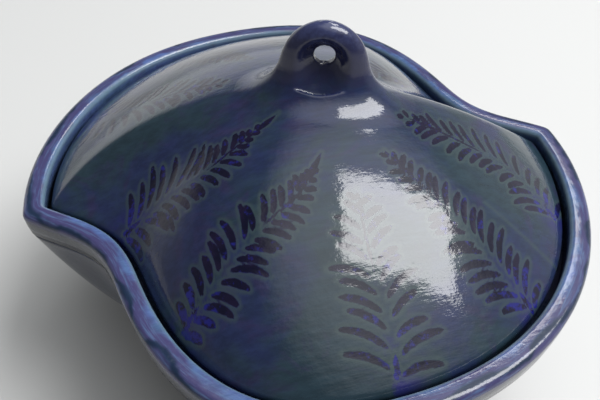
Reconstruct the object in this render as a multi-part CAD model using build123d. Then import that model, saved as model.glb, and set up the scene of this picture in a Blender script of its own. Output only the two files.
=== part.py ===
from build123d import *
import math
import os

# Lidded stoneware crock with a two-cornered rim and a pierced handle, in millimetres.
# Origin: centre of the foot's resting plane.  +Z up, +X through one corner of the rim.
# The plan has half-turn symmetry about Z, so one half of the outline is given and used twice.
# Only the lid's two ridges differ: one sweeps round further than the other.

# Rim outline in plan: (bearing in degrees, radius) from one corner to the other.
RIM_OUTLINE = ((0, 100), (8, 86.5), (18, 80), (30, 83), (45, 92), (65, 103),
               (90, 104), (115, 103), (140, 101), (160, 100), (172, 100), (180, 100))

# Heights
RIM_TOP = 78.0
RIM_DEPTH = 10.0
FOOT_HEIGHT = 7.0
BOWL_TOP = RIM_TOP - RIM_DEPTH

# Rim and bowl
RIM_WIDTH = 7.2
RIM_ROUND = 2.2
ROUND_STEPS = (0, 30, 60, 90)
WALL_TUCK = 1.0
FLOOR_THICK = 6.0
BOWL_FOOT_RADIUS = 52.0
BOWL_SWELL = 0.5
BOWL_LEVELS = (0.0, 0.04, 0.14, 0.35, 0.65, 1.0)

# Foot ring
FOOT_RADIUS = 49.0
FOOT_WIDTH = 9.0
FOOT_ROUND = 1.5

# Ledge inside the bowl that carries the lid
LEDGE_REACH = 15.5
LEDGE_THICK = 6.0

# Lid
LID_GAP = 1.8
LID_INSET = RIM_WIDTH + LID_GAP
LID_EDGE = 8.0
LID_THICK = 6.0
DOME_RISE = 36.5
DOME_POWER = 1.9
DOME_TWIST = 8.0
TWIST_POWER = 5
TWIST_LEAN = 0.5
DOME_LEVELS = (1.0, 0.85, 0.65, 0.45, 0.25, 0.1)
FLANGE_INSET = 17.5
FLANGE_WIDTH = 4.0
FLANGE_DEPTH = 10.0

# Handle: a pinched fin, oval in plan at every height (height above rim, length, thickness)
HANDLE_OVALS = ((24, 52, 28), (31, 42, 20), (38, 33, 15), (46, 28.5, 12.8),
                (53, 22, 11.5), (57.5, 13, 8))
HANDLE_X = 4.0
HANDLE_Y = -1.0
HANDLE_TURN = -20.0
HANDLE_TOP_HEIGHT = 59.0

# Finger-pressed hole through the handle: narrow throat, wide mouth on both faces
HOLE_HEIGHT = 47.5
THROAT_RADIUS = 3.5
THROAT_LENGTH = 4.0
MOUTH_RADIUS = 9.0
MOUTH_DEPTH = 5.5


def plan_outline(height, inset=0.0, scale=1.0, twist=0.0, foot_radius=0.0, roundness=0.0):
    """Closed plan wire: the rim outline drawn in by inset, eased towards the foot's circle, scaled, twisted."""
    halves = []
    for start in (0, 180):
        points = []
        for bearing, radius in RIM_OUTLINE:
            drawn = ((radius - inset) * (1 - roundness) + foot_radius * roundness) * scale
            around = math.radians(start + bearing)
            angle = around - math.radians(twist) * (1 - TWIST_LEAN * math.cos(around))
            points.append((drawn * math.cos(angle), drawn * math.sin(angle), height))
        halves.append(Spline(*points))
    return Wire(halves)


def plan_prism(inset, low, high):
    """Upright solid with the rim outline drawn in by inset."""
    return extrude(Face(plan_outline(low, inset)), high - low)


def bowl_body(inset, low):
    """Solid inside the bowl's wall at a given inset, from the height low to the bowl's top."""
    sections = []
    for level in BOWL_LEVELS:
        height = low + (BOWL_TOP - low) * level
        fraction = (height - FOOT_HEIGHT) / (BOWL_TOP - FOOT_HEIGHT)
        roundness = 1 - fraction ** BOWL_SWELL
        sections.append(plan_outline(height, inset, foot_radius=BOWL_FOOT_RADIUS - inset, roundness=roundness))
    return Solid.make_loft(sections)


def dome_body(inset, low):
    """Twisted dome over the outline at the given inset, standing on the height low."""
    sections = []
    for level in DOME_LEVELS:
        height = low + DOME_RISE * (1 - level ** DOME_POWER)
        twist = DOME_TWIST * (1 - level ** TWIST_POWER)
        sections.append(plan_outline(height, inset, scale=level, twist=twist))
    return Solid.make_loft(sections)


def crock_bowl():
    outside = bowl_body(WALL_TUCK, FOOT_HEIGHT)
    return outside - bowl_body(RIM_WIDTH, FOOT_HEIGHT + FLOOR_THICK)


def foot_ring():
    ring = extrude(Circle(FOOT_RADIUS) - Circle(FOOT_RADIUS - FOOT_WIDTH), FOOT_HEIGHT)
    resting_edges = ring.edges().filter_by(GeomType.CIRCLE).group_by(Axis.Z)[0]
    return fillet(resting_edges, FOOT_ROUND)


def rim_crown(inset, draw):
    """Top slice of the rim band, its outline drawn in by draw over a rounded edge."""
    sections = []
    for degrees in ROUND_STEPS:
        angle = math.radians(degrees)
        height = RIM_TOP - RIM_ROUND * (1 - math.sin(angle))
        sections.append(plan_outline(height, inset + draw * (1 - math.cos(angle))))
    return Solid.make_loft(sections)


def rim_band():
    shoulder = RIM_TOP - RIM_ROUND
    outside = plan_prism(0.0, BOWL_TOP, shoulder) + rim_crown(0.0, RIM_ROUND)
    inside = plan_prism(RIM_WIDTH, BOWL_TOP, shoulder) + rim_crown(RIM_WIDTH, -RIM_ROUND)
    return outside - inside


def lid_gallery():
    low = BOWL_TOP - LEDGE_THICK
    ledge = plan_prism(0.0, low, BOWL_TOP) - plan_prism(LEDGE_REACH, low, BOWL_TOP)
    return ledge & bowl_body(RIM_WIDTH, FOOT_HEIGHT + FLOOR_THICK)


def lid_outside():
    return plan_prism(LID_INSET, BOWL_TOP, BOWL_TOP + LID_EDGE) + dome_body(LID_INSET, BOWL_TOP + LID_EDGE)


def lid_hollow():
    inset = LID_INSET + LID_THICK
    shoulder = BOWL_TOP + LID_EDGE - LID_THICK
    return plan_prism(inset, BOWL_TOP, shoulder) + dome_body(inset, shoulder)


def lid_dome():
    return lid_outside() - lid_hollow()


def lid_flange():
    low = BOWL_TOP - FLANGE_DEPTH
    high = BOWL_TOP + DOME_RISE
    ring = plan_prism(FLANGE_INSET, low, high) - plan_prism(FLANGE_INSET + FLANGE_WIDTH, low, high)
    below = plan_prism(LID_INSET, low, BOWL_TOP)
    return (ring & below) + (ring & lid_hollow())


def handle_hole():
    """Throat with a flared mouth on each side, along the handle's own Y axis."""
    throat = Cylinder(THROAT_RADIUS, 2 * HANDLE_TOP_HEIGHT)
    mouth = Cone(THROAT_RADIUS, MOUTH_RADIUS, MOUTH_DEPTH, align=(Align.CENTER, Align.CENTER, Align.MIN))
    front = Pos(0, 0, THROAT_LENGTH / 2) * mouth
    back = front.rotate(Axis.X, 180)
    return Rot(90, 0, 0) * (throat + front + back)


def lid_handle():
    sections = []
    for height, length, thickness in HANDLE_OVALS:
        oval = Ellipse(length / 2, thickness / 2)
        sections.append(Pos(0, 0, height) * oval)
    crown = Pos(0, 0, HANDLE_TOP_HEIGHT) * Vertex(0, 0, 0)
    fin = loft(sections + [crown]) - Pos(0, 0, HOLE_HEIGHT) * handle_hole()
    return Pos(HANDLE_X, HANDLE_Y, RIM_TOP) * Rot(0, 0, HANDLE_TURN) * fin - lid_outside()


os.makedirs("parts", exist_ok=True)
for make_part in (crock_bowl, foot_ring, rim_band, lid_gallery, lid_dome, lid_flange, lid_handle):
    solid = make_part()
    solid.label = make_part.__name__
    export_step(solid, f"parts/{make_part.__name__}.step")
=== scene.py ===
import bpy
import math
import numpy as np
import openvdb
from mathutils import Matrix, Vector


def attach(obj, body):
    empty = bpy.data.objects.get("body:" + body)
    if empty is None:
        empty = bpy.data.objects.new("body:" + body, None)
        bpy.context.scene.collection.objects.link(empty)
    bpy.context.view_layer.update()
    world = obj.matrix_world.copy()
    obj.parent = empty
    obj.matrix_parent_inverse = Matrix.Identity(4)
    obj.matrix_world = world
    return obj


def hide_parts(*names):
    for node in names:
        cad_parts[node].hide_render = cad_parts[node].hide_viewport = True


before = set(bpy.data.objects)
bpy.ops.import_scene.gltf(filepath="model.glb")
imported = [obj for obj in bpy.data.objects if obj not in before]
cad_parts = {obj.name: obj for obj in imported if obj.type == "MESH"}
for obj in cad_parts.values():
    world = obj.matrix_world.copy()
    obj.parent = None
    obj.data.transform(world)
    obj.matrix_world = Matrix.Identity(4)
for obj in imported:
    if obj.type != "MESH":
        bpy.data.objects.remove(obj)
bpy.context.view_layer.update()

# ---- The crock's bowl ----------------------------------------------------------------------
# Grogged stoneware, thrown wide, then drawn out to two corners while it is soft.
# The wall flares from a round foot to the cornered mouth, and is glazed inside and out.

MM = 0.001
RIM_OUTLINE = ((0, 100), (8, 86.5), (18, 80), (30, 83), (45, 92), (65, 103),
               (90, 104), (115, 103), (140, 101), (160, 100), (172, 100), (180, 100))
HALF_TURN = math.pi
FULL_TURN = 2 * math.pi
RIM_TOP = 78.0
RIM_DEPTH = 10.0
BOWL_TOP = RIM_TOP - RIM_DEPTH
FOOT_HEIGHT = 7.0
WAVE_COUNT = 360


def curve_through(places, values):
    """Natural cubic curve through the values, as a function of place."""
    x = np.array(places, float)
    y = np.array(values, float)
    step = np.diff(x)
    count = len(x)
    matrix = np.eye(count)
    right = np.zeros(count)
    for i in range(1, count - 1):
        matrix[i, i - 1:i + 2] = step[i - 1], 2 * (step[i - 1] + step[i]), step[i]
        right[i] = 6 * ((y[i + 1] - y[i]) / step[i] - (y[i] - y[i - 1]) / step[i - 1])
    bend = np.linalg.solve(matrix, right)

    def curve(place):
        i = np.clip(np.searchsorted(x, place, side="right") - 1, 0, count - 2)
        far = (place - x[i]) / step[i]
        near = 1 - far
        sag = (near ** 3 - near) * bend[i] + (far ** 3 - far) * bend[i + 1]
        return near * y[i] + far * y[i + 1] + sag * step[i] ** 2 / 6

    return curve


rim_radius = curve_through([math.radians(b) for b, r in RIM_OUTLINE], [r for b, r in RIM_OUTLINE])


def outline_waves(inset):
    """The rim outline drawn in by a true inset, as the waves that sum to its radius by bearing."""
    t = np.linspace(0, HALF_TURN, 1441)
    radius = rim_radius(t)
    x = radius * np.cos(t)
    y = radius * np.sin(t)
    dx = np.gradient(x, t)
    dy = np.gradient(y, t)
    length = np.hypot(dx, dy)
    x_in = x - inset * dy / length
    y_in = y + inset * dx / length
    bearing = np.unwrap(np.arctan2(y_in, x_in))
    drawn = np.hypot(x_in, y_in)
    even = np.linspace(0, FULL_TURN, 4096, endpoint=False)
    found = np.full(even.shape, np.inf)
    for turn in (-2, -1, 0, 1, 2):
        found = np.minimum(found, np.interp(even + turn * HALF_TURN, bearing, drawn, np.inf, np.inf))
    return np.fft.rfft(found)[:WAVE_COUNT + 1] / len(even)


def radius_at(waves, bearing, soften):
    """Radius of an outline by bearing, its corners rounded by soften, an angle."""
    total = np.full(np.shape(bearing), waves[0].real)
    for n in range(2, WAVE_COUNT + 1, 2):
        weight = 2 * np.exp(-(n * soften) ** 2 / 2)
        total = total + weight * (waves[n].real * np.cos(n * bearing) - waves[n].imag * np.sin(n * bearing))
    return total


def hand_unevenness(x, y, wavelength, seed):
    """Sum of a few seeded waves: the slow unevenness of a hand-made surface, about -1 to 1."""
    rng = np.random.default_rng(seed)
    total = np.zeros(np.shape(x))
    for wave in range(9):
        heading = rng.uniform(0, FULL_TURN)
        length = wavelength * rng.uniform(0.7, 1.6)
        phase = rng.uniform(0, FULL_TURN)
        total += np.sin((x * np.cos(heading) + y * np.sin(heading)) * FULL_TURN / length + phase)
    return total / 3


def add_mesh(name, points, faces):
    """A smooth-shaded object from points in millimetres and a list of face arrays."""
    mesh = bpy.data.meshes.new(name)
    sizes = np.concatenate([np.full(len(f), f.shape[1]) for f in faces])
    corners = np.concatenate([f.ravel() for f in faces])
    mesh.vertices.add(len(points))
    mesh.vertices.foreach_set("co", (points * MM).astype(np.float32).ravel())
    mesh.loops.add(len(corners))
    mesh.loops.foreach_set("vertex_index", corners.astype(np.int32))
    mesh.polygons.add(len(sizes))
    mesh.polygons.foreach_set("loop_start", (np.cumsum(sizes) - sizes).astype(np.int32))
    mesh.update(calc_edges=True)
    mesh.validate()
    mesh.shade_smooth()
    piece = bpy.data.objects.new(name, mesh)
    bpy.context.scene.collection.objects.link(piece)
    return piece


def ring_faces(rows, columns, closed):
    """Quads between rings of points, outward when the rings climb outside and go down inside."""
    i, j = np.meshgrid(np.arange(rows if closed else rows - 1), np.arange(columns), indexing="ij")
    up = (i + 1) % rows
    right = (j + 1) % columns
    quads = np.stack([i * columns + j, i * columns + right, up * columns + right, up * columns + j], -1)
    return quads.reshape(-1, 4)


def ring_points(radii, heights, bearings):
    return np.stack([radii * np.cos(bearings), radii * np.sin(bearings), heights], -1)


def add_node(tree, kind, links=None, **settings):
    """A node with its settings; links maps a socket's name or number to a value or to another socket."""
    made = tree.nodes.new(kind)
    for key, value in settings.items():
        setattr(made, key, value)
    for key, value in (links or {}).items():
        socket = made.inputs[key]
        if isinstance(value, bpy.types.NodeSocket):
            tree.links.new(value, socket)
        else:
            socket.default_value = value
    return made


def math_node(tree, operation, *values):
    made = tree.nodes.new("ShaderNodeMath")
    made.operation = operation
    for place, value in enumerate(values):
        if isinstance(value, bpy.types.NodeSocket):
            tree.links.new(value, made.inputs[place])
        else:
            made.inputs[place].default_value = value
    return made.outputs[0]


def step_between(tree, value, low, high, to_low=0.0, to_high=1.0):
    """Smooth step of a value from to_low at low to to_high at high."""
    links = {"Value": value, "From Min": low, "From Max": high, "To Min": to_low, "To Max": to_high}
    return add_node(tree, "ShaderNodeMapRange", links, interpolation_type="SMOOTHSTEP").outputs[0]


def mix_colors(tree, share, first, second):
    made = tree.nodes.new("ShaderNodeMix")
    made.data_type = "RGBA"
    for place, value in ((0, share), (6, first), (7, second)):
        if isinstance(value, bpy.types.NodeSocket):
            tree.links.new(value, made.inputs[place])
        else:
            made.inputs[place].default_value = value
    return made.outputs[2]


def noise(tree, place, scale, detail, roughness=0.5, distortion=0.0):
    links = {"Vector": place, "Scale": scale, "Detail": detail, "Roughness": roughness,
             "Distortion": distortion}
    return add_node(tree, "ShaderNodeTexNoise", links).outputs["Fac"]


def new_group(name, inputs, outputs):
    """An empty shader group with named inputs (name: default) and outputs (name: socket type)."""
    tree = bpy.data.node_groups.new(name, "ShaderNodeTree")
    for title, default in inputs.items():
        kind = "NodeSocketFloat" if isinstance(default, float) else "NodeSocketColor"
        tree.interface.new_socket(title, in_out="INPUT", socket_type=kind).default_value = default
    for title, kind in outputs.items():
        tree.interface.new_socket(title, in_out="OUTPUT", socket_type=kind)
    return tree, tree.nodes.new("NodeGroupInput").outputs, tree.nodes.new("NodeGroupOutput").inputs


RIPPLE_HEIGHT = 0.08
BRUSH_SCALE = (60.0, 420.0, 420.0)
BRUSH_TURN = (0.2, 0.1, 0.35)


def make_mottled_glaze():
    """Layered glaze: two grounds in soft clouds, a third in patches, brushed streaks and a faint ripple."""
    inputs = {"Ground": (0.05, 0.08, 0.12, 1.0), "Cloud": (0.05, 0.08, 0.12, 1.0),
              "Patch": (0.05, 0.08, 0.12, 1.0), "Cloud Scale": 40.0, "Patch Amount": 0.5,
              "Streak": 0.2, "Ripple": 1.0, "Roughness": 0.1}
    outputs = {"Color": "NodeSocketColor", "Roughness": "NodeSocketFloat", "Normal": "NodeSocketVector"}
    tree, given, result = new_group("mottled_glaze", inputs, outputs)
    place = add_node(tree, "ShaderNodeTexCoord").outputs["Object"]
    clouds = noise(tree, place, given["Cloud Scale"], 5.0, 0.6, 0.6)
    color = mix_colors(tree, step_between(tree, clouds, 0.38, 0.62), given["Ground"], given["Cloud"])
    patch_scale = math_node(tree, "MULTIPLY", given["Cloud Scale"], 1.9)
    patches = noise(tree, place, patch_scale, 6.0, 0.65, 1.1)
    patch_share = math_node(tree, "MULTIPLY", step_between(tree, patches, 0.5, 0.68), given["Patch Amount"])
    color = mix_colors(tree, patch_share, color, given["Patch"])
    brushed = add_node(tree, "ShaderNodeMapping", {"Vector": place, "Rotation": BRUSH_TURN,
                       "Scale": BRUSH_SCALE}).outputs["Vector"]
    streaks = noise(tree, brushed, 1.0, 4.0, 0.7)
    light = step_between(tree, streaks, 0.3, 0.7, 0.6, 1.5)
    shaded = add_node(tree, "ShaderNodeVectorMath", {0: color, "Scale": light}, operation="SCALE").outputs[0]
    color = mix_colors(tree, given["Streak"], color, shaded)
    tree.links.new(color, result["Color"])
    rough = math_node(tree, "MULTIPLY", given["Roughness"], step_between(tree, patches, 0.3, 0.7, 0.75, 1.35))
    tree.links.new(rough, result["Roughness"])
    fine = noise(tree, brushed, 2.2, 3.0, 0.6)
    peel = noise(tree, place, 260.0, 3.0, 0.55)
    height = math_node(tree, "ADD", math_node(tree, "MULTIPLY", fine, 0.4), peel)
    bump = add_node(tree, "ShaderNodeBump", {"Height": height, "Distance": RIPPLE_HEIGHT * MM,
                    "Strength": given["Ripple"]})
    tree.links.new(bump.outputs[0], result["Normal"])
    return tree


mottled_glaze = make_mottled_glaze()


def new_material(name, roughness):
    material = bpy.data.materials.new(name)
    material.use_nodes = True
    shader = material.node_tree.nodes["Principled BSDF"]
    shader.inputs["Roughness"].default_value = roughness
    return material, material.node_tree, shader


def place_group(tree, group, **values):
    made = tree.nodes.new("ShaderNodeGroup")
    made.node_tree = group
    for name, value in values.items():
        made.inputs[name.replace("_", " ")].default_value = value
    return made


def link_glaze(tree, glaze, shader, color):
    """Feeds a shader with a colour and with a placed glaze group's roughness and normal."""
    tree.links.new(color, shader.inputs["Base Color"])
    for name in ("Roughness", "Normal"):
        tree.links.new(glaze.outputs[name], shader.inputs[name])


def read_attribute(tree, name):
    return add_node(tree, "ShaderNodeAttribute", attribute_name=name).outputs["Fac"]


def finish_piece(piece, material, body, slot_name, *nodes):
    piece.data.materials.clear()
    piece.data.materials.append(material)
    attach(piece, body)
    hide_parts(*nodes)


BOWL_GROUND = (0.03, 0.036, 0.05, 1)


def make_bowl_glaze():
    material, tree, shader = new_material("bowl_glaze", 0.12)
    glaze = place_group(tree, mottled_glaze, Ground=BOWL_GROUND, Cloud=(0.022, 0.03, 0.055, 1),
                        Patch=(0.04, 0.034, 0.06, 1), Cloud_Scale=28.0, Patch_Amount=0.5, Streak=0.5,
                        Ripple=1.0, Roughness=0.12)
    link_glaze(tree, glaze, shader, glaze.outputs["Color"])
    return material


BOWL_COLUMNS = 600
BOWL_FOOT_RADIUS = 52.0
BOWL_SWELL = 0.5
WALL_TUCK = 1.0
WALL_WIDTH = 6.2
FLOOR_THICK = 6.0
FLOOR_DISH = 1.2
CORNER_SOFTNESS = math.radians(0.6)
FOOT_SOFTNESS = 0.03


def bowl_ring(height, inset, waves, bearings):
    spread = ((height - FOOT_HEIGHT) / (BOWL_TOP - FOOT_HEIGHT)) ** BOWL_SWELL
    rim = radius_at(waves, bearings, CORNER_SOFTNESS + (1 - spread) * FOOT_SOFTNESS)
    radii = rim * spread + (BOWL_FOOT_RADIUS - inset) * (1 - spread)
    return ring_points(radii, np.full(bearings.shape, height), bearings)


def make_bowl():
    bearings = np.linspace(0, FULL_TURN, BOWL_COLUMNS, endpoint=False)
    outer = outline_waves(WALL_TUCK)
    inner = outline_waves(WALL_TUCK + WALL_WIDTH)
    floor = FOOT_HEIGHT + FLOOR_THICK
    rings = []
    for share in (0.02, 0.5, 0.96):
        radii = np.full(bearings.shape, BOWL_FOOT_RADIUS * share)
        rings.append(ring_points(radii, np.full(bearings.shape, FOOT_HEIGHT), bearings))
    for height in FOOT_HEIGHT + (BOWL_TOP - FOOT_HEIGHT) * np.linspace(0.04, 1, 48) ** 2:
        rings.append(bowl_ring(height, 0.0, outer, bearings))
    for height in np.linspace(BOWL_TOP, floor + FLOOR_DISH, 40):
        rings.append(bowl_ring(height, WALL_WIDTH, inner, bearings))
    last = np.hypot(rings[-1][:, 0], rings[-1][:, 1])
    for share in (0.95, 0.75, 0.4, 0.02):
        dip = FLOOR_DISH * share ** 6
        rings.append(ring_points(last * share, np.full(bearings.shape, floor + dip), bearings))
    points = np.concatenate(rings)
    below = len(points)
    columns = np.arange(BOWL_COLUMNS)
    right = (columns + 1) % BOWL_COLUMNS
    top_start = below - BOWL_COLUMNS
    points = np.concatenate([points, [[0, 0, FOOT_HEIGHT], [0, 0, floor]]])
    bottom_fan = np.stack([np.full(BOWL_COLUMNS, below), right, columns], -1)
    top_fan = np.stack([np.full(BOWL_COLUMNS, below + 1), top_start + columns, top_start + right], -1)
    faces = [ring_faces(len(rings), BOWL_COLUMNS, False), bottom_fan, top_fan]
    return add_mesh("bowl", points, faces)


finish_piece(make_bowl(), make_bowl_glaze(), "crock", "fern_glaze", "crock_bowl")

# ---- The foot ring --------------------------------------------------------------------------
# A ring of the same clay, turned under the floor and wiped clean of glaze before firing.

FOOT_RADIUS = 49.0
FOOT_WIDTH = 9.0
FOOT_ROUND = 1.5
FOOT_COLUMNS = 360
GROG_HEIGHT = 0.2


def make_bare_clay():
    material, tree, shader = new_material("bare_clay", 0.8)
    place = add_node(tree, "ShaderNodeTexCoord").outputs["Object"]
    grog = add_node(tree, "ShaderNodeTexVoronoi", {"Vector": place, "Scale": 900.0}).outputs["Distance"]
    blush = noise(tree, place, 60.0, 5.0)
    color = mix_colors(tree, step_between(tree, blush, 0.35, 0.65), (0.3, 0.21, 0.14, 1), (0.4, 0.3, 0.22, 1))
    color = mix_colors(tree, step_between(tree, grog, 0.1, 0.22, 0.55, 0.0), color, (0.14, 0.09, 0.06, 1))
    tree.links.new(color, shader.inputs["Base Color"])
    bump = add_node(tree, "ShaderNodeBump", {"Height": grog, "Distance": GROG_HEIGHT * MM, "Strength": 0.6})
    tree.links.new(bump.outputs[0], shader.inputs["Normal"])
    return material


def make_foot():
    bearings = np.linspace(0, FULL_TURN, FOOT_COLUMNS, endpoint=False)
    section = []
    outer = FOOT_RADIUS - FOOT_ROUND
    for turn in np.radians(range(-90, 1, 15)):
        section.append((outer + FOOT_ROUND * math.cos(turn), FOOT_ROUND * (1 + math.sin(turn))))
    section += [(FOOT_RADIUS, FOOT_HEIGHT), (FOOT_RADIUS - FOOT_WIDTH, FOOT_HEIGHT)]
    for turn in np.radians(range(0, 91, 15)):
        inner = FOOT_RADIUS - FOOT_WIDTH + FOOT_ROUND
        section.append((inner - FOOT_ROUND * math.cos(turn), FOOT_ROUND * (1 - math.sin(turn))))
    rings = [ring_points(np.full(bearings.shape, radius), np.full(bearings.shape, height), bearings)
             for radius, height in section]
    return add_mesh("foot", np.concatenate(rings), [ring_faces(len(rings), FOOT_COLUMNS, True)])


finish_piece(make_foot(), make_bare_clay(), "crock", "bare_stoneware", "foot_ring")

# ---- The rim ----------------------------------------------------------------------------------
# A thick coil of clay joined round the mouth and pressed flat on top, its edges wiped round.
# Its glaze is a paler blue that turns purple towards the outside and breaks teal at the outer edge; the cyan
# line on the inner edge is partly a paler glaze break and partly a painted highlight.

RIM_WIDTH = 7.2
RIM_COLUMNS = 900
OUTER_ROUND = 2.4
INNER_ROUND = 2.0
FACE_LEAN = 0.95
FACE_BEND = 3.5


def sweep_section(name, section, columns, soften):
    """A closed ring whose section is a list of (inset from the rim outline, height)."""
    bearings = np.linspace(0, FULL_TURN, columns, endpoint=False)
    rings = []
    for inset, height in section:
        radii = radius_at(outline_waves(inset), bearings, soften)
        rings.append(ring_points(radii, np.full(bearings.shape, height), bearings))
    piece = add_mesh(name, np.concatenate(rings), [ring_faces(len(rings), columns, True)])
    steps = np.hypot(*np.diff(np.array(section), axis=0).T)
    across = np.repeat(np.concatenate([[0.0], np.cumsum(steps)]), columns)
    piece.data.attributes.new("across", "FLOAT", "POINT").data.foreach_set("value", across.astype(np.float32))
    return piece


def quarter(centre, radius, start, end, steps):
    """Points of an arc of a section, from one angle to another in degrees."""
    turns = np.radians(np.linspace(start, end, steps))
    return [(centre[0] + radius * math.cos(turn), centre[1] + radius * math.sin(turn)) for turn in turns]


def make_rim():
    section = [(FACE_LEAN, BOWL_TOP), (FACE_LEAN * 0.4, BOWL_TOP + FACE_BEND)]
    section += quarter((OUTER_ROUND, RIM_TOP - OUTER_ROUND), OUTER_ROUND, 180, 90, 9)
    section += quarter((RIM_WIDTH - INNER_ROUND, RIM_TOP - INNER_ROUND), INNER_ROUND, 90, 0, 8)
    section.append((RIM_WIDTH, BOWL_TOP))
    return sweep_section("rim", section, RIM_COLUMNS, CORNER_SOFTNESS)


PURPLE_RIM = (0.045, 0.042, 0.115, 1)
PALE_RIM = (0.085, 0.15, 0.28, 1)
CYAN_EDGE_HIGHLIGHT = (0.13, 0.2, 0.23, 1)
TEAL_EDGE = (0.006, 0.018, 0.04, 1)
# Where the rim's colours change, in millimetres along its section from the foot of the outer face
FACE_TO_TOP = (5.5, 8.5)
TEAL_LINE = ((7.6, 9.4), (9.8, 11.6))
PURPLE_TO_BLUE = (13.2, 15.6)
CYAN_HIGHLIGHT_LINE = ((14.6, 16.2), (16.4, 18.6))
ZONE_WANDER = 2.2
STREAK_SCALE = (80.0, 80.0, 80.0)
STREAK_ACROSS = 1.1


def make_rim_glaze():
    material, tree, shader = new_material("rim_glaze", 0.14)
    glaze = place_group(tree, mottled_glaze, Ground=(0.06, 0.095, 0.24, 1), Cloud=(0.055, 0.1, 0.2, 1),
                        Patch=(0.055, 0.055, 0.16, 1), Cloud_Scale=45.0, Patch_Amount=0.7, Streak=0.5,
                        Ripple=1.5, Roughness=0.14)
    across = read_attribute(tree, "across")
    place = add_node(tree, "ShaderNodeTexCoord").outputs["Object"]
    drawn = add_node(tree, "ShaderNodeVectorMath", {0: place, 1: STREAK_SCALE}, operation="MULTIPLY")
    shift = add_node(tree, "ShaderNodeCombineXYZ", {"Z": math_node(tree, "MULTIPLY", across, STREAK_ACROSS)})
    along = add_node(tree, "ShaderNodeVectorMath", {0: drawn.outputs[0], 1: shift.outputs[0]},
                     operation="ADD").outputs[0]
    wander = noise(tree, along, 1.0, 5.0, 0.65, 0.8)
    slow = noise(tree, place, 55.0, 3.0)
    edge = math_node(tree, "ADD", across, step_between(tree, slow, 0.3, 0.7, -ZONE_WANDER, ZONE_WANDER))
    color = mix_colors(tree, step_between(tree, edge, *PURPLE_TO_BLUE), PURPLE_RIM, glaze.outputs["Color"])
    color = mix_colors(tree, step_between(tree, wander, 0.46, 0.7, 0.0, 0.6), color, PALE_RIM)
    # Painted highlight: a pale cyan line along the rounded inner edge, partly also the glaze breaking paler
    # there
    inner_edge_highlight = math_node(tree, "MULTIPLY", step_between(tree, across, *CYAN_HIGHLIGHT_LINE[0]),
                           step_between(tree, across, *CYAN_HIGHLIGHT_LINE[1], 0.6, 0.0))
    color = mix_colors(tree, inner_edge_highlight, color, CYAN_EDGE_HIGHLIGHT)
    outer_edge = math_node(tree, "MULTIPLY", step_between(tree, edge, *TEAL_LINE[0]),
                           step_between(tree, edge, *TEAL_LINE[1], 0.9, 0.0))
    color = mix_colors(tree, outer_edge, color, TEAL_EDGE)
    color = mix_colors(tree, step_between(tree, across, *FACE_TO_TOP, 1.0, 0.0), color, BOWL_GROUND)
    link_glaze(tree, glaze, shader, color)
    return material


finish_piece(make_rim(), make_rim_glaze(), "crock", "rim_glaze", "rim_band")

# ---- The ledge ----------------------------------------------------------------------------------
# A flat coil pressed to the inside of the mouth, which carries the lid.

LEDGE_REACH = 15.5
LEDGE_THICK = 6.0
LEDGE_ROUND = 1.2
LEDGE_COLUMNS = 480
LEDGE_SOFTNESS = math.radians(2.5)


def make_ledge():
    low = BOWL_TOP - LEDGE_THICK
    section = [(RIM_WIDTH + 2.0, low), (RIM_WIDTH, BOWL_TOP)]
    edge = LEDGE_REACH - LEDGE_ROUND
    section += quarter((edge, BOWL_TOP - LEDGE_ROUND), LEDGE_ROUND, 90, 0, 5)
    section += quarter((edge, low + LEDGE_ROUND), LEDGE_ROUND, 0, -90, 5)
    return sweep_section("ledge", section, LEDGE_COLUMNS, LEDGE_SOFTNESS)


def make_inside_glaze():
    material, tree, shader = new_material("inside_glaze", 0.25)
    glaze = place_group(tree, mottled_glaze, Ground=(0.03, 0.042, 0.055, 1), Cloud=(0.02, 0.03, 0.065, 1),
                        Patch=(0.045, 0.038, 0.065, 1), Cloud_Scale=28.0, Patch_Amount=0.5, Streak=0.4,
                        Ripple=2.0, Roughness=0.25)
    link_glaze(tree, glaze, shader, glaze.outputs["Color"])
    return material


inside_glaze = make_inside_glaze()
finish_piece(make_ledge(), inside_glaze, "crock", "inside_glaze", "lid_gallery")

# ---- The lid ------------------------------------------------------------------------------------
# A thrown dome, cut to drop inside the rim and pushed into two swept shoulders.
# Fern fronds are pressed into the soft clay, stained with cobalt and flooded with glaze.

LID_GAP = 1.8
LID_INSET = RIM_WIDTH + LID_GAP
LID_BASE = RIM_TOP - 2.0
LID_BOTTOM = BOWL_TOP
LID_EDGE_ROUND = 2.6
DOME_INSET = LID_INSET + 1.0
DOME_RISE = 36.5
DOME_POWER = 1.9
DOME_TWIST = math.radians(8)
TWIST_POWER = 5
TWIST_LEAN = 0.5
UNEVEN_HEIGHT = 0.1
UNEVEN_LENGTH = 60
LID_CELLS = 250
LID_LIP = 6.0
LID_THICK_MIDDLE = 7.0
dome_waves = outline_waves(DOME_INSET)


def dome_turn(level, around):
    """How far the dome has twisted at a level, more on the ridge that sweeps round further."""
    return DOME_TWIST * (1 - level ** TWIST_POWER) * (1 - TWIST_LEAN * np.cos(around))


def dome_softness(level):
    """How far the ridges are rounded, an angle: sharp at the edge and soft near the handle."""
    return math.radians(0.7) + math.radians(5.5) * (1 - level) ** 1.6


def dome_height(level, x, y):
    """Height of the lid's top, with the slow unevenness of hand-thrown clay."""
    uneven = UNEVEN_HEIGHT * (1 - level ** 8) * hand_unevenness(x, y, UNEVEN_LENGTH, 4)
    return LID_BASE + DOME_RISE * (1 - level ** DOME_POWER) + uneven


def dome_points(level, bearing):
    """Points of the lid's top for levels, 1 at the edge and 0 at the middle, and bearings."""
    radius = level * radius_at(dome_waves, bearing, dome_softness(level))
    turned = bearing - dome_turn(level, bearing)
    x = radius * np.cos(turned)
    y = radius * np.sin(turned)
    return np.stack([x, y, dome_height(level, x, y)], -1)


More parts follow.
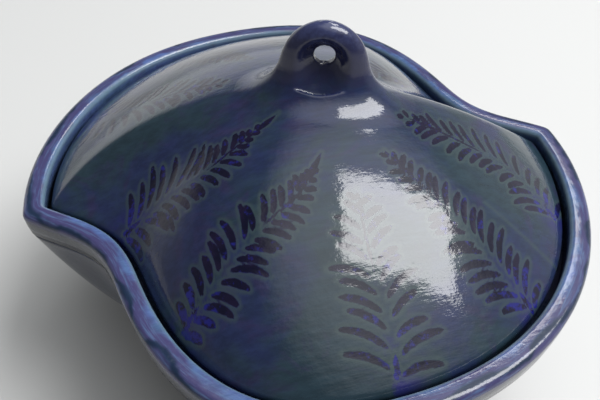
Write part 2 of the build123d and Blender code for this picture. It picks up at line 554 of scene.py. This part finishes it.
def level_over(x, y):
    """The dome's level over a plan position, found by halving."""
    reach = np.hypot(x, y)
    bearing = np.arctan2(y, x)
    low = np.zeros(reach.shape)
    high = np.ones(reach.shape)
    for halving in range(22):
        middle = (low + high) / 2
        untwisted = bearing + dome_turn(middle, bearing + dome_turn(middle, bearing))
        radius = middle * radius_at(dome_waves, untwisted, dome_softness(middle))
        low = np.where(radius < reach, middle, low)
        high = np.where(radius < reach, high, middle)
    return (low + high) / 2


def square_to_disc(cells):
    """Levels and bearings of an even grid of points over a disc, with no pole."""
    side = np.linspace(-1, 1, cells + 1)
    u, v = np.meshgrid(side, side, indexing="xy")
    wide = np.abs(u) > np.abs(v)
    level = np.where(wide, np.abs(u), np.abs(v))
    with np.errstate(divide="ignore", invalid="ignore"):
        slant = np.nan_to_num(np.where(wide, v / u, u / v)) * math.pi / 4
    bearing = np.where(wide, slant + np.where(u < 0, HALF_TURN, 0),
                       HALF_TURN / 2 - slant + np.where(v < 0, HALF_TURN, 0))
    return level.ravel(), bearing.ravel()


def grid_faces(cells):
    row, column = np.meshgrid(np.arange(cells), np.arange(cells), indexing="ij")
    corner = (row * (cells + 1) + column).ravel()
    return np.stack([corner, corner + 1, corner + cells + 2, corner + cells + 1], -1)


def grid_border(cells):
    """Indices round a grid's border, anticlockwise from above."""
    n = cells + 1
    along = np.arange(cells)
    return np.concatenate([along, along * n + cells, cells * n + cells - along, (cells - along) * n])


def make_lid():
    level, bearing = square_to_disc(LID_CELLS)
    top = dome_points(level, bearing)
    border = grid_border(LID_CELLS)
    around = bearing[border]
    edge_centre = (LID_INSET + LID_EDGE_ROUND, LID_BASE - LID_EDGE_ROUND * math.cos(math.radians(37)))
    section = quarter(edge_centre, LID_EDGE_ROUND, 137, 180, 6)
    section += quarter((LID_INSET + 1.0, LID_BOTTOM + 1.0), 1.0, 180, 270, 5)
    section.append((LID_INSET + LID_LIP, LID_BOTTOM))
    skirt = [ring_points(radius_at(outline_waves(inset), around, dome_softness(1.0)),
                         np.full(around.shape, height), around) for inset, height in section[1:]]
    half = LID_CELLS // 2
    under_level, under_bearing = square_to_disc(half)
    under_waves = outline_waves(LID_INSET + LID_LIP)
    reach = under_level * radius_at(under_waves, under_bearing, dome_softness(under_level))
    rise = (LID_BASE + DOME_RISE - LID_THICK_MIDDLE - LID_BOTTOM) * (1 - under_level ** DOME_POWER)
    under = ring_points(reach, LID_BOTTOM + rise, under_bearing - dome_turn(under_level, under_bearing))
    points = np.concatenate([top] + skirt + [under])
    count = len(border)
    first = len(top)
    faces = [grid_faces(LID_CELLS)]
    rings = [border] + [first + count * k + np.arange(count) for k in range(len(skirt))]
    for above, below in zip(rings[:-1], rings[1:]):
        faces.append(np.stack([above, below, np.roll(below, -1), np.roll(above, -1)], -1))
    start = first + count * len(skirt)
    inner = start + grid_border(half)
    inner_next = np.roll(inner, -1)
    lip = rings[-1]
    faces.append(np.stack([lip[0::2], inner, lip[1::2]], -1))
    faces.append(np.stack([inner, inner_next, lip[1::2]], -1))
    faces.append(np.stack([lip[1::2], inner_next, np.roll(lip, -2)[0::2]], -1))
    faces.append(start + grid_faces(half)[:, ::-1])
    return add_mesh("lid", points, faces)


# Fronds: the leaflets' spacing, then plan points from base to tip (x, y, and the leaflets' length there)
FRONDS = ((3.1, (-67, -17, 13), (-57, -16.5, 15), (-48, -18, 13), (-40, -19, 10.5), (-30, -16.5, 6),
           (-24, -14.5, 2.5), (-13.5, -9.5, 0.5)),
          (3.3, (-55, -61, 9), (-46, -57, 12.5), (-37, -51, 12), (-27, -46, 9), (-17, -42, 7),
           (-12, -38, 3), (-5, -29, 0.5)),
          (4.1, (-1, -91, 17), (1, -82, 13.5), (0, -72, 13.5), (0, -60, 11), (1, -50, 7), (2, -43, 2)),
          (3.4, (48, -79, 12), (42, -70, 14), (34, -58, 12), (26, -48, 9), (20, -39, 6), (15, -31, 2)),
          (3.8, (74, -47, 14.5), (69, -37, 12.5), (59, -30, 12), (48, -26, 11), (37, -21, 8), (28, -17, 3)),
          (2.6, (-72, -24, 0.5), (-76, -16, 3.2), (-79, -7, 0.5)))
# A stem's faint mark, shown only as a pale line in the glaze
BARE_STEM = ((44, -48), (52, -55), (66, -67))
LEAFLET_HALF_WIDTH = 1.08
BASE_SLANT = math.radians(74)
TIP_SLANT = math.radians(52)
PRESS_DEPTH = 0.035
POOL_REACH = 11.0
STAGGER = 0.8
SHORTEST_LEAFLET = 2.2
LEAFLET_BOW = 0.07
LEAFLET_START = 0.1
TAPER_POWER = 0.42
TURN_SPREAD = 0.13
SIZE_SPREAD = (0.86, 1.16)
CURVE_STEP = 0.5
STALK_STEP = 0.4
THINNEST_STALK = 0.1


def make_curves(name, routes):
    """Curves laid flat in plan through (x, y, radius) points, and again half a turn round.

    Each curve's tilt holds its leaflets' spacing.
    """
    curve = bpy.data.curves.new(name, "CURVE")
    curve.dimensions = "3D"
    for side in (1, -1):
        for spacing, *route in routes:
            spline = curve.splines.new("NURBS")
            spline.points.add(len(route) - 1)
            for point, (x, y, radius) in zip(spline.points, route):
                point.co = (side * x * MM, side * y * MM, 0, 1)
                point.radius = radius * MM
                point.tilt = spacing * MM
            spline.order_u = 3
            spline.use_endpoint_u = True
            spline.resolution_u = 24
    curves = bpy.data.objects.new(name, curve)
    bpy.context.scene.collection.objects.link(curves)
    return curves


def geometry_tree(name, inputs):
    """A geometry tree with named inputs (name: (socket type, default)) and one geometry output."""
    tree = bpy.data.node_groups.new(name, "GeometryNodeTree")
    tree.interface.new_socket("Geometry", in_out="INPUT", socket_type="NodeSocketGeometry")
    for title, (kind, default) in inputs.items():
        socket = tree.interface.new_socket(title, in_out="INPUT", socket_type=kind)
        if default is not None:
            socket.default_value = default
    tree.interface.new_socket("Geometry", in_out="OUTPUT", socket_type="NodeSocketGeometry")
    return tree, tree.nodes.new("NodeGroupInput").outputs, tree.nodes.new("NodeGroupOutput").inputs


def object_curves(tree, source):
    return add_node(tree, "GeometryNodeObjectInfo", {"Object": source}).outputs["Geometry"]


def resample(tree, curve, length):
    return add_node(tree, "GeometryNodeResampleCurve", {"Curve": curve, "Length": length},
                    mode="LENGTH").outputs["Curve"]


def curve_points(tree, curve):
    return add_node(tree, "GeometryNodeCurveToPoints", {"Curve": curve}, mode="EVALUATED").outputs["Points"]


def store_value(tree, geometry, name, value):
    """Stores a value on each point under a name."""
    return add_node(tree, "GeometryNodeStoreNamedAttribute", {"Geometry": geometry, "Name": name,
                    "Value": value}, data_type="FLOAT", domain="POINT").outputs[0]


def leaflet_row(tree, given, side, seed):
    """Points along the leaflets on one side of every frond, each point's radius its half width."""
    spacing = add_node(tree, "GeometryNodeInputCurveTilt").outputs[0]
    spaced = resample(tree, object_curves(tree, given["Fronds"]), spacing)
    slant = step_between(tree, add_node(tree, "GeometryNodeSplineParameter").outputs["Factor"], -0.4, 1.1,
                         given["Base Slant"], given["Tip Slant"])
    spaced = store_value(tree, spaced, "slant", slant)
    roots = add_node(tree, "GeometryNodeCurveToPoints", {"Curve": spaced}, mode="EVALUATED")
    stagger = add_node(tree, "ShaderNodeVectorMath", {0: roots.outputs["Tangent"],
                       "Scale": STAGGER * MM * side}, operation="SCALE").outputs[0]
    placed = add_node(tree, "GeometryNodeSetPosition", {"Geometry": roots.outputs["Points"],
                      "Offset": stagger}).outputs["Geometry"]
    stem = add_node(tree, "GeometryNodeCurvePrimitiveLine", {"Start": (LEAFLET_START, 0, 0), "End": (1, 0, 0)})
    blade = add_node(tree, "GeometryNodeResampleCurve", {"Curve": stem.outputs["Curve"], "Count": 26},
                     mode="COUNT").outputs["Curve"]
    share = add_node(tree, "GeometryNodeSplineParameter").outputs["Factor"]
    bow = math_node(tree, "MULTIPLY", math_node(tree, "SINE", math_node(tree, "MULTIPLY", share, math.pi)),
                    -LEAFLET_BOW * side)
    bent = add_node(tree, "GeometryNodeSetPosition", {"Geometry": blade,
                    "Offset": add_node(tree, "ShaderNodeCombineXYZ", {"Y": bow}).outputs[0]}).outputs[0]
    taper = math_node(tree, "POWER", math_node(tree, "MULTIPLY", math_node(tree, "MULTIPLY", share, 4.0),
                      math_node(tree, "SUBTRACT", 1.0, share)), TAPER_POWER)
    width = math_node(tree, "MULTIPLY", given["Half Width"], taper)
    shaped = add_node(tree, "GeometryNodeSetCurveRadius", {"Curve": bent, "Radius": width}).outputs["Curve"]
    heading = add_node(tree, "FunctionNodeAlignRotationToVector", {"Vector": roots.outputs["Tangent"]},
                       axis="X").outputs["Rotation"]
    random_turn = add_node(tree, "FunctionNodeRandomValue", {2: -TURN_SPREAD, 3: TURN_SPREAD, "Seed": seed},
                           data_type="FLOAT").outputs[1]
    slant = add_node(tree, "GeometryNodeInputNamedAttribute", {"Name": "slant"}, data_type="FLOAT").outputs[0]
    slant = math_node(tree, "ADD", math_node(tree, "MULTIPLY", slant, side), random_turn)
    turn = add_node(tree, "ShaderNodeCombineXYZ", {"Z": slant}).outputs[0]
    turned = add_node(tree, "FunctionNodeRotateRotation", {"Rotation": heading, "Rotate By": turn},
                      rotation_space="LOCAL").outputs["Rotation"]
    random_size = add_node(tree, "FunctionNodeRandomValue", {2: SIZE_SPREAD[0], 3: SIZE_SPREAD[1],
                           "Seed": seed + 5}, data_type="FLOAT").outputs[1]
    size = math_node(tree, "MULTIPLY", add_node(tree, "GeometryNodeInputRadius").outputs[0], random_size)
    long_enough = add_node(tree, "FunctionNodeCompare", {0: size, 1: SHORTEST_LEAFLET * MM},
                           operation="GREATER_THAN").outputs[0]
    leaflets = add_node(tree, "GeometryNodeInstanceOnPoints", {"Points": placed, "Selection": long_enough,
                        "Instance": shaped, "Rotation": turned, "Scale": size}).outputs["Instances"]
    real = add_node(tree, "GeometryNodeRealizeInstances", {"Geometry": leaflets}).outputs["Geometry"]
    return curve_points(tree, real)


def stalk_points(tree, given):
    """Points along each frond's stalk where it prints: a stem at the base, a thin rib and a tip blade."""
    fine = resample(tree, object_curves(tree, given["Fronds"]), STALK_STEP * MM)
    share = add_node(tree, "GeometryNodeSplineParameter").outputs["Factor"]
    stem = step_between(tree, share, 0.02, 0.14, 1.2, -0.2)
    rib = step_between(tree, share, 0.4, 0.62, -0.2, 0.55)
    blade = math_node(tree, "MULTIPLY", step_between(tree, share, 0.8, 0.88, 0.0, 0.6),
                      step_between(tree, share, 0.9, 1.0, 1.0, -0.6))
    width = math_node(tree, "ADD", math_node(tree, "MAXIMUM", stem, rib), blade)
    sized = add_node(tree, "GeometryNodeSetCurveRadius", {"Curve": fine,
                     "Radius": math_node(tree, "MULTIPLY", width, MM)}).outputs["Curve"]
    points = curve_points(tree, sized)
    bare = add_node(tree, "FunctionNodeCompare", {0: add_node(tree, "GeometryNodeInputRadius").outputs[0],
                    1: THINNEST_STALK * MM}, operation="LESS_THAN").outputs["Result"]
    return add_node(tree, "GeometryNodeDeleteGeometry", {"Geometry": points, "Selection": bare},
                    domain="POINT").outputs["Geometry"]


def store_nearness(tree, geometry, source, plan, name, reach, end):
    """Stores 1 along the source's curves, up to a share of their length, falling to 0 at reach."""
    fine = resample(tree, object_curves(tree, source), CURVE_STEP * MM)
    trimmed = add_node(tree, "GeometryNodeTrimCurve", {"Curve": fine, "End": end}, mode="FACTOR").outputs[0]
    near = add_node(tree, "GeometryNodeProximity", {"Geometry": curve_points(tree, trimmed),
                    "Sample Position": plan}, target_element="POINTS").outputs["Distance"]
    share = add_node(tree, "ShaderNodeClamp", {0: math_node(tree, "SUBTRACT", 1.0,
                     math_node(tree, "DIVIDE", near, reach))}).outputs[0]
    return store_value(tree, geometry, name, share)


def make_fern_prints():
    """Presses the leaflets into a surface's upper side and stores every point's depth inside a print."""
    inputs = {"Fronds": ("NodeSocketObject", None), "Bare Stem": ("NodeSocketObject", None),
              "Half Width": ("NodeSocketFloat", LEAFLET_HALF_WIDTH * MM),
              "Base Slant": ("NodeSocketFloat", BASE_SLANT), "Tip Slant": ("NodeSocketFloat", TIP_SLANT),
              "Depth": ("NodeSocketFloat", PRESS_DEPTH * MM),
              "Pool Reach": ("NodeSocketFloat", POOL_REACH * MM),
              "Material": ("NodeSocketMaterial", None)}
    tree, given, result = geometry_tree("fern_prints", inputs)
    joined = tree.nodes.new("GeometryNodeJoinGeometry")
    rows = (leaflet_row(tree, given, 1, 3), leaflet_row(tree, given, -1, 8))
    for points in (*rows, stalk_points(tree, given)):
        tree.links.new(points, joined.inputs["Geometry"])
    position = add_node(tree, "GeometryNodeInputPosition").outputs[0]
    plan = add_node(tree, "ShaderNodeVectorMath", {0: position, 1: (1, 1, 0)},
                    operation="MULTIPLY").outputs[0]
    nearest = add_node(tree, "GeometryNodeSampleNearest", {"Geometry": joined.outputs[0],
                       "Sample Position": plan}).outputs["Index"]
    there = add_node(tree, "GeometryNodeSampleIndex", {"Geometry": joined.outputs[0], "Value": position,
                     "Index": nearest}, data_type="FLOAT_VECTOR").outputs["Value"]
    radius = add_node(tree, "GeometryNodeInputRadius").outputs[0]
    width = add_node(tree, "GeometryNodeSampleIndex", {"Geometry": joined.outputs[0], "Value": radius,
                     "Index": nearest}, data_type="FLOAT").outputs["Value"]
    distance = add_node(tree, "ShaderNodeVectorMath", {0: plan, 1: there},
                        operation="DISTANCE").outputs["Value"]
    inside = math_node(tree, "DIVIDE", math_node(tree, "SUBTRACT", width, distance), MM)
    ragged = noise(tree, position, 550.0, 2.0)
    inside = math_node(tree, "ADD", inside, step_between(tree, ragged, 0.2, 0.8, -0.16, 0.16))
    stored = store_value(tree, given["Geometry"], "print", inside)
    stored = store_nearness(tree, stored, given["Fronds"], plan, "pool", given["Pool Reach"], 0.05)
    stored = store_nearness(tree, stored, given["Bare Stem"], plan, "bare_stem", MM, 1.0)
    pressed = step_between(tree, inside, -0.5, 0.8)
    push = math_node(tree, "MULTIPLY", pressed, math_node(tree, "MULTIPLY", given["Depth"], -1.0))
    offset = add_node(tree, "ShaderNodeVectorMath", {0: add_node(tree, "GeometryNodeInputNormal").outputs[0],
                      "Scale": push}, operation="SCALE").outputs[0]
    top_only = add_node(tree, "FunctionNodeCompare", {0: add_node(tree, "ShaderNodeSeparateXYZ",
                        {0: add_node(tree, "GeometryNodeInputNormal").outputs[0]}).outputs["Z"], 1: 0.1},
                        operation="GREATER_THAN").outputs["Result"]
    moved = add_node(tree, "GeometryNodeSetPosition", {"Geometry": stored, "Selection": top_only,
                     "Offset": offset}).outputs["Geometry"]
    real = add_node(tree, "GeometryNodeRealizeInstances", {"Geometry": moved}).outputs["Geometry"]
    painted = add_node(tree, "GeometryNodeSetMaterial", {"Geometry": real,
                       "Material": given["Material"]}).outputs["Geometry"]
    tree.links.new(painted, result["Geometry"])
    return tree


def apply_tree(piece, tree, **values):
    """Runs a geometry tree on a piece and keeps the result as its plain mesh."""
    modifier = piece.modifiers.new(tree.name, "NODES")
    modifier.node_group = tree
    for item in tree.interface.items_tree:
        key = item.name.replace(" ", "_")
        if item.in_out == "INPUT" and key in values:
            modifier[item.identifier] = values[key]
    evaluated = piece.evaluated_get(bpy.context.evaluated_depsgraph_get())
    baked = bpy.data.meshes.new_from_object(evaluated)
    piece.modifiers.clear()
    piece.data = baked
    baked.name = piece.name


INDIGO_STAIN = (0.002, 0.002, 0.013, 1)
BROWN_STAIN = (0.006, 0.004, 0.02, 1)
COBALT_STAIN = (0.01, 0.011, 0.13, 1)
COBALT_POOL = (0.013, 0.013, 0.09, 1)
PALE_HALO = (0.035, 0.055, 0.055, 1)
HANDLE_BLUE = (0.016, 0.018, 0.055, 1)
CREST_BLUE_SHEEN = (0.035, 0.042, 0.105, 1)
# Heights in metres where the handle turns bluer, then paler at its crest: a painted sheen where the top faces
# the sky, partly also a paler glaze break
HANDLE_FADE = (0.114, 0.122)
CREST_SHEEN_FADE = (0.129, 0.137)
HEIGHT_BLUR = 0.003


def make_fern_glaze():
    """Mottled glaze with the fern prints' stain, which reads the depth inside a print."""
    material, tree, shader = new_material("fern_glaze", 0.08)
    glaze = place_group(tree, mottled_glaze, Ground=(0.015, 0.03, 0.042, 1), Cloud=(0.013, 0.02, 0.06, 1),
                        Patch=(0.022, 0.018, 0.055, 1), Cloud_Scale=30.0, Patch_Amount=0.6, Streak=0.4,
                        Ripple=1.0, Roughness=0.08)
    inside = read_attribute(tree, "print")
    place = add_node(tree, "ShaderNodeTexCoord").outputs["Object"]
    drift = noise(tree, place, 120.0, 4.0, 0.6)
    blot = noise(tree, place, 330.0, 4.0, 0.65)
    stain = mix_colors(tree, step_between(tree, drift, 0.4, 0.6), INDIGO_STAIN, BROWN_STAIN)
    pool = read_attribute(tree, "pool")
    bright = math_node(tree, "ADD", blot, math_node(tree, "MULTIPLY", pool, 0.2))
    stain = mix_colors(tree, step_between(tree, bright, 0.54, 0.72), stain, COBALT_STAIN)
    halo = math_node(tree, "MULTIPLY", step_between(tree, inside, -1.6, -0.3),
                     step_between(tree, inside, -0.2, 0.1, 0.5, 0.0))
    halo = math_node(tree, "MAXIMUM", halo,
                     math_node(tree, "MULTIPLY", read_attribute(tree, "bare_stem"), 0.7))
    spread = math_node(tree, "MULTIPLY", step_between(tree, pool, 0.1, 0.9),
                       step_between(tree, drift, 0.42, 0.56))
    ground = mix_colors(tree, spread, glaze.outputs["Color"], COBALT_POOL)
    color = mix_colors(tree, halo, ground, PALE_HALO)
    color = mix_colors(tree, step_between(tree, inside, -0.12, 0.22), color, stain)
    lift = add_node(tree, "ShaderNodeSeparateXYZ", {0: place}).outputs["Z"]
    # Height blurred by noise, for the handle's bluer tone and the crest's painted sheen
    blurred_height = math_node(tree, "ADD", lift, step_between(tree, blot, 0.3, 0.7, -HEIGHT_BLUR, HEIGHT_BLUR))
    color = mix_colors(tree, step_between(tree, blurred_height, *HANDLE_FADE), color, HANDLE_BLUE)
    # Painted sheen: the crest paler where its top faces the sky, partly a paler glaze break
    color = mix_colors(tree, step_between(tree, blurred_height, *CREST_SHEEN_FADE), color, CREST_BLUE_SHEEN)
    link_glaze(tree, glaze, shader, color)
    return material


fern_glaze = make_fern_glaze()
lid = make_lid()
fern_prints = make_fern_prints()
fronds = make_curves("fronds", FRONDS)
bare_stem = make_curves("bare_stem", [(1, *[(x, y, 1) for x, y in BARE_STEM])])
apply_tree(lid, fern_prints, Fronds=fronds, Bare_Stem=bare_stem, Material=fern_glaze)
finish_piece(lid, fern_glaze, "lid", "fern_glaze", "lid_dome")

# ---- The lid's flange -----------------------------------------------------------------------------
# A ring of clay under the lid that drops inside the ledge and keeps the lid from sliding.

FLANGE_INSET = 17.5
FLANGE_WIDTH = 4.0
FLANGE_DEPTH = 10.0


def make_flange():
    low = LID_BOTTOM - FLANGE_DEPTH
    half = FLANGE_WIDTH / 2
    section = [(FLANGE_INSET, LID_BOTTOM + 2.2), (FLANGE_INSET + FLANGE_WIDTH, LID_BOTTOM + 4.0)]
    section += quarter((FLANGE_INSET + half, low + half), half, 0, -180, 11)
    return sweep_section("flange", section, LEDGE_COLUMNS, LEDGE_SOFTNESS)


finish_piece(make_flange(), inside_glaze, "lid", "inside_glaze", "lid_flange")

# ---- The handle -----------------------------------------------------------------------------------
# A fin of clay pinched up and smoothed into the dome, with a hole pressed through it by finger.

# Fin: height above the rim, length and thickness
FIN_OVALS = ((20, 52, 28), (26, 48, 24), (31, 42, 19.5), (36, 36, 16), (41, 31, 13.5), (46, 28.6, 12.8))
CROWN_START = 43.0
CROWN_HEIGHT = 15.6
HANDLE_X = 4.0
HANDLE_Y = -1.0
HANDLE_TURN = math.radians(-20)
FIN_BLEND = 10.0
HOLE_HEIGHT = 47.5
THROAT_RADIUS = 3.5
THROAT_HALF = 1.4
MOUTH_RADIUS = 9.3
MOUTH_DEPTH = 6.4
MOUTH_BLEND = 2.4
MOUTH_END = 7.6
MOUTH_CLOSING = 1.5
MOUTH_FACE = 6.9
MOUTH_LIMIT = 1.1
MOUTH_SHIFT = (1.2, 1.6)
GROUND_SHARE = 0.9
EASE = 2.5
HANDLE_VOXEL = 0.5
# The fin's foot spreads over the dome as a thin sheet, which dives under it at the edges
SHEET_LIFT = 0.015
SHEET_REACH = 27.0
TUCK_START = 17.0
TUCK_RATE = 0.0006
ROOT_DEPTH = 3.0
BAND = 3.0
HANDLE_LOW = (-32.0, -30.0, 94.0)
HANDLE_HIGH = (40.0, 28.0, 139.0)


def smooth_lower(a, b, blend):
    """The lower of two distances, rounded where they meet."""
    near = np.clip(0.5 + 0.5 * (b - a) / blend, 0, 1)
    return b + (a - b) * near - blend * near * (1 - near)


def fin_size(rise, part):
    """Half the fin's length (part 1) or thickness (part 2) at a height, its changes eased."""
    heights = [oval[0] for oval in FIN_OVALS]
    sizes = [oval[part] / 2 for oval in FIN_OVALS]
    return sum(np.interp(rise + step, heights, sizes) for step in (-EASE, 0, EASE)) / 3


def handle_distance(x, y, z, ground):
    """Distance-like value, below 0 inside the clay of the fin and the dome under it."""
    cos_turn = math.cos(HANDLE_TURN)
    sin_turn = math.sin(HANDLE_TURN)
    along = (x - HANDLE_X) * cos_turn + (y - HANDLE_Y) * sin_turn
    through = (y - HANDLE_Y) * cos_turn - (x - HANDLE_X) * sin_turn
    rise = z - RIM_TOP
    crown = np.clip((rise - CROWN_START) / CROWN_HEIGHT, 0, 1)
    length = fin_size(rise, 1) * np.maximum((1 - crown ** 2) ** 0.5, 0.03)
    thick = fin_size(rise, 2) * np.maximum((1 - crown ** 2) ** 0.4, 0.05)
    share = np.hypot(along / length, through / thick)
    steep = np.maximum(np.hypot(along / length ** 2, through / thick ** 2), 1e-4)
    fin = np.maximum(share * (share - 1) / steep, rise - CROWN_START - CROWN_HEIGHT)
    clay = smooth_lower(fin, (z - ground) * GROUND_SHARE, FIN_BLEND)
    out = np.abs(through)
    depth = MOUTH_RADIUS * np.sqrt(np.clip(1 - (MOUTH_FACE - out) / MOUTH_DEPTH, 0.0, MOUTH_LIMIT))
    shift = np.clip(out - THROAT_HALF, 0, 6) / 6
    from_axis = np.hypot(along + MOUTH_SHIFT[0] * shift, rise - HOLE_HEIGHT + MOUTH_SHIFT[1] * shift)
    hole = np.maximum(depth, THROAT_RADIUS) - from_axis - MOUTH_CLOSING * np.clip(out - MOUTH_END, 0, None)
    return -smooth_lower(-clay, -hole, MOUTH_BLEND)


def make_handle():
    sides = [np.arange(low, high, HANDLE_VOXEL) for low, high in zip(HANDLE_LOW, HANDLE_HIGH)]
    x, y = np.meshgrid(sides[0], sides[1], indexing="ij")
    level = level_over(x, y)
    ground = dome_height(level, x, y)
    x, y, z = np.meshgrid(*sides, indexing="ij")
    ground = ground[:, :, None]
    clay = handle_distance(x, y, z, ground)
    away = np.hypot((x - HANDLE_X) / 1.25, y - HANDLE_Y)
    tuck = TUCK_RATE * np.clip(away - TUCK_START, 0, None) ** 2 - SHEET_LIFT
    value = np.maximum(clay + tuck, ground - ROOT_DEPTH - z)
    value = np.maximum(value, away - SHEET_REACH)
    grid = openvdb.FloatGrid(BAND)
    grid.copyFromArray(np.clip(value, -BAND, BAND).astype(np.float32))
    corner = np.array(HANDLE_LOW)
    points, quads = grid.convertToQuads()
    points = points * HANDLE_VOXEL + corner
    return add_mesh("handle", points, [quads.astype(int)])


handle = make_handle()
apply_tree(handle, fern_prints, Fronds=fronds, Bare_Stem=bare_stem, Material=fern_glaze)
bpy.data.objects.remove(fronds)
bpy.data.objects.remove(bare_stem)
finish_piece(handle, fern_glaze, "lid", "fern_glaze", "lid_handle")

# ---- The table, the light and the camera --------------------------------------------------------
# A pale matt table in a dim room, lit by one window above and one further pane behind.

CAMERA_AIM = dict(azimuth=-17.1, elevation=43.1, distance=256.0, roll=1.81, right=-2.3, up=-12.4)
FOCAL_LENGTH = 42.0


def make_camera():
    a = math.radians(CAMERA_AIM["azimuth"])
    e = math.radians(CAMERA_AIM["elevation"])
    back = np.array([math.sin(a) * math.cos(e), -math.cos(a) * math.cos(e), math.sin(e)])
    right = np.array([math.cos(a), math.sin(a), 0.0])
    up = np.cross(back, right)
    place = back * CAMERA_AIM["distance"] + right * CAMERA_AIM["right"] + up * CAMERA_AIM["up"]
    place[2] += RIM_TOP
    roll = math.radians(CAMERA_AIM["roll"])
    tilted_right = right * math.cos(roll) + up * math.sin(roll)
    tilted_up = up * math.cos(roll) - right * math.sin(roll)
    data = bpy.data.cameras.new("camera")
    data.lens = FOCAL_LENGTH
    data.clip_start = 0.01
    camera = bpy.data.objects.new("camera", data)
    bpy.context.scene.collection.objects.link(camera)
    m = Matrix.Identity(4)
    for row in range(3):
        m[row][0] = tilted_right[row]
        m[row][1] = tilted_up[row]
        m[row][2] = back[row]
        m[row][3] = place[row] * MM
    camera.matrix_world = m
    bpy.context.scene.camera = camera


make_camera()
bpy.context.scene.view_settings.view_transform = "Standard"

WINDOW_AIM = (math.radians(57), math.radians(-8))
WINDOW_DISTANCE = 1.5
WINDOW_ROLL = math.radians(-4)
LOOK_AT = Vector((0.01, -0.055, 0.176))
GLOW_AIM = (0.355, -0.05, 0.934)
toward_pane = Vector((0.444, 0.611, 0.656)).normalized()
toward_window = Vector((math.cos(WINDOW_AIM[0]) * math.cos(WINDOW_AIM[1]),
                        math.cos(WINDOW_AIM[0]) * math.sin(WINDOW_AIM[1]), math.sin(WINDOW_AIM[0])))


def area_light(name, aim, distance, roll, offset, size, power):
    """A rectangular light facing LOOK_AT, moved by offset and turned by roll in its own plane."""
    data = bpy.data.lights.new(name, "AREA")
    data.shape = "RECTANGLE"
    data.size = size[0]
    data.size_y = size[1]
    data.energy = power
    light = bpy.data.objects.new(name, data)
    bpy.context.scene.collection.objects.link(light)
    across = Vector((-aim.y, aim.x, 0)).normalized()
    upward = aim.cross(across)
    turned = Matrix.Rotation(roll, 4, aim)
    across = turned @ across
    upward = turned @ upward
    place = LOOK_AT + aim * distance + across * offset[0] + upward * offset[1]
    light.matrix_world = Matrix((across, upward, aim)).transposed().to_4x4()
    light.location = place


area_light("window", toward_window, WINDOW_DISTANCE, WINDOW_ROLL, (-0.05, 0.04), (0.78, 1.03), 26.5)
area_light("far_pane", toward_pane, WINDOW_DISTANCE, 0, (0, 0), (0.42, 0.32), 3.4)


ROOM_LEVEL = 0.13


def make_room_light():
    """A dim room: a pale wall low down behind, a glow round the window, dark overhead and in front."""
    world = bpy.data.worlds.new("room")
    bpy.context.scene.world = world
    world.use_nodes = True
    tree = world.node_tree
    aim = add_node(tree, "ShaderNodeTexCoord").outputs["Generated"]
    split = add_node(tree, "ShaderNodeSeparateXYZ", {0: aim})
    low = step_between(tree, split.outputs["Z"], 0.2, 0.5, 1.0, 0.0)
    back = step_between(tree, split.outputs["Y"], 0.45, 0.95, 0.12, 1.0)
    wall = math_node(tree, "MULTIPLY", low, back)
    facing = add_node(tree, "ShaderNodeVectorMath", {0: aim, 1: GLOW_AIM}, operation="DOT_PRODUCT")
    glow = step_between(tree, facing.outputs["Value"], 0.68, 0.97, 0.0, 1.8)
    side = math_node(tree, "MULTIPLY", step_between(tree, split.outputs["X"], 0.5, 0.95, 0.0, 0.5),
                     step_between(tree, split.outputs["Z"], 0.4, 0.75, 1.0, 0.0))
    brightest = math_node(tree, "MAXIMUM", math_node(tree, "MAXIMUM", wall, side), glow)
    light = math_node(tree, "ADD", brightest, ROOM_LEVEL)
    tree.nodes["Background"].inputs["Color"].default_value = (0.97, 0.99, 1.0, 1)
    tree.links.new(light, tree.nodes["Background"].inputs["Strength"])


make_room_light()

TABLE_HALF = 3
table_mesh = bpy.data.meshes.new("table")
half = TABLE_HALF
table_mesh.from_pydata([(-half, -half, 0), (half, -half, 0), (half, half, 0), (-half, half, 0)],
                       [], [(0, 1, 2, 3)])
table = bpy.data.objects.new("table", table_mesh)
bpy.context.scene.collection.objects.link(table)
table_paint, _, table_shader = new_material("table_paint", 0.6)
table_shader.inputs["Base Color"].default_value = (0.54, 0.54, 0.535, 1)
table.data.materials.append(table_paint)
